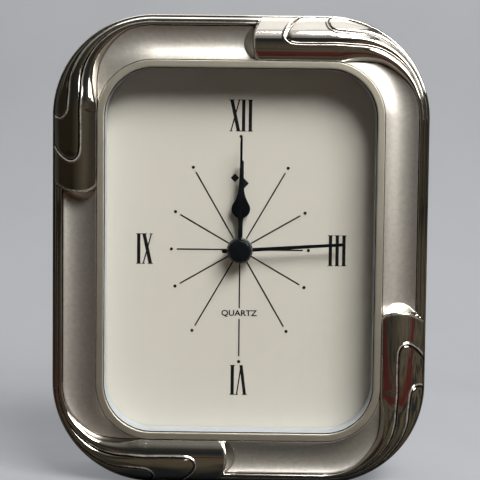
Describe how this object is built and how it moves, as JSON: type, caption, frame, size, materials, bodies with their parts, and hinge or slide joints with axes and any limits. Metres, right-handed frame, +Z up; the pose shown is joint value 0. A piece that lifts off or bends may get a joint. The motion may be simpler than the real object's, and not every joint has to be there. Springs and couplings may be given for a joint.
{
  "type": "travel alarm clock",
  "caption": "Upright rectangular travel alarm clock: cast frame with wave corners, glazed cream dial, quartz movement, rear cover with fold-out stand, setting knobs and battery door.",
  "frame": {"origin": "middle of the flat that the upright clock stands on, under the front frame's outer wall", "axes": "+Z up along the clock's height, dial faces -Y, +X to the right as seen from the front"},
  "size_m": [0.08, 0.0289, 0.1],
  "materials": {
    "silver_plate": "polished beads and waves with satin cove between them",
    "clear_glass": "clear flat glass with ground edge",
    "white_ring": "smooth white",
    "cream_dial": "matte cream",
    "hand_black": "satin black",
    "case_black": "fine spark texture",
    "nylon": "moulded natural",
    "steel": "bright",
    "brass": "turned",
    "magnet": "sintered",
    "winding": "enamelled copper wire",
    "board": "laminate",
    "epoxy": "poured",
    "cell": "plain sleeve",
    "wire_red": "sheath",
    "wire_black": "sheath"
  },
  "bodies": {
    "case": {"front_frame": "silver_plate", "lens": "clear_glass", "spacer_ring": "white_ring", "dial": "cream_dial", "dial_retainer": "case_black", "movement_front_plate": "nylon", "movement_rear_plate": "nylon", "movement_screw_1": "steel", "movement_screw_2": "steel", "movement_screw_3": "steel", "movement_screw_4": "steel", "case_screw_1": "steel", "case_screw_2": "steel", "case_screw_3": "steel", "case_screw_4": "steel", "stator": "steel", "coil_core": "steel", "coil_bobbin": "case_black", "coil_winding": "winding", "circuit_board": "board", "controller_blob": "epoxy", "quartz_crystal": "steel", "sounder_cup": "case_black", "sounder_disc": "brass", "battery": "cell", "positive_contact": "steel", "negative_contact": "steel", "wire_positive": "wire_red", "wire_negative": "wire_black", "wire_sounder_a": "wire_red", "wire_sounder_b": "wire_black", "alarm_contact": "brass", "rear_cover": "case_black", "stand_hinge_pin": "steel"},
    "minute_train": {"minute_hand": "hand_black", "minute_arbor": "brass"},
    "hour_train": {"hour_hand": "hand_black", "hour_wheel": "nylon"},
    "setting_train": {"minute_wheel": "nylon", "time_set_knob": "case_black"},
    "seconds_train": {"second_hand": "hand_black", "seconds_wheel": "steel"},
    "intermediate": {"intermediate_wheel": "nylon"},
    "rotor": {"rotor_pinion": "nylon", "rotor_magnet": "magnet"},
    "third": {"third_wheel": "nylon"},
    "center": {"center_wheel": "brass", "clutch_washer": "steel"},
    "alarm_train": {"alarm_hand": "hand_black", "alarm_wheel": "nylon"},
    "alarm_setting": {"alarm_set_pinion": "nylon", "alarm_set_knob": "case_black"},
    "switch": {"alarm_switch": "wire_red"},
    "door": {"battery_door": "case_black"},
    "stand": {"stand_leg": "case_black"}
  },
  "joints": [
    {"name": "minute_turn", "type": "hinge", "parent": "case", "child": "minute_train", "pos_m": [0, 0, 0.05], "axis": [0, 1, 0], "continuous": true},
    {"name": "hour_turn", "type": "hinge", "parent": "case", "child": "hour_train", "pos_m": [0, 0, 0.05], "axis": [0, 1, 0], "continuous": true},
    {"name": "setting_turn", "type": "hinge", "parent": "case", "child": "setting_train", "pos_m": [-0.0089, 0, 0.05805], "axis": [0, 1, 0], "continuous": true},
    {"name": "second_turn", "type": "hinge", "parent": "case", "child": "seconds_train", "pos_m": [0, 0, 0.05], "axis": [0, 1, 0], "continuous": true},
    {"name": "intermediate_turn", "type": "hinge", "parent": "case", "child": "intermediate", "pos_m": [0.0116, 0, 0.04693], "axis": [0, 1, 0], "continuous": true},
    {"name": "rotor_turn", "type": "hinge", "parent": "case", "child": "rotor", "pos_m": [0.01517, 0, 0.03759], "axis": [0, 1, 0], "continuous": true},
    {"name": "third_turn", "type": "hinge", "parent": "case", "child": "third", "pos_m": [0, 0, 0.0388], "axis": [0, 1, 0], "continuous": true},
    {"name": "center_turn", "type": "hinge", "parent": "case", "child": "center", "pos_m": [0, 0, 0.05], "axis": [0, 1, 0], "continuous": true},
    {"name": "alarm_turn", "type": "hinge", "parent": "case", "child": "alarm_train", "pos_m": [0, 0, 0.05], "axis": [0, 1, 0], "continuous": true},
    {"name": "alarm_set_turn", "type": "hinge", "parent": "case", "child": "alarm_setting", "pos_m": [0.0089, 0, 0.05805], "axis": [0, 1, 0], "continuous": true},
    {"name": "switch_slide", "type": "slide", "parent": "case", "child": "switch", "axis": [0, 0, 1], "range_m": [0, 0.003]},
    {"name": "door_lift", "type": "slide", "parent": "case", "child": "door", "axis": [0, 1, 0], "range_m": [0, 0.02]},
    {"name": "stand_fold", "type": "hinge", "parent": "case", "child": "stand", "pos_m": [0, 0.01425, 0.0465], "axis": [1, 0, 0], "range_deg": [0, 35]}
  ],
  "couplings": [
    {"joint": "hour_turn", "follows": "minute_turn", "ratio": 0.083333},
    {"joint": "setting_turn", "follows": "minute_turn", "ratio": -0.33333},
    {"joint": "intermediate_turn", "follows": "second_turn", "ratio": -5},
    {"joint": "rotor_turn", "follows": "second_turn", "ratio": 30},
    {"joint": "third_turn", "follows": "second_turn", "ratio": -0.125},
    {"joint": "center_turn", "follows": "second_turn", "ratio": 0.016667},
    {"joint": "alarm_set_turn", "follows": "alarm_turn", "ratio": -3}
  ]
}
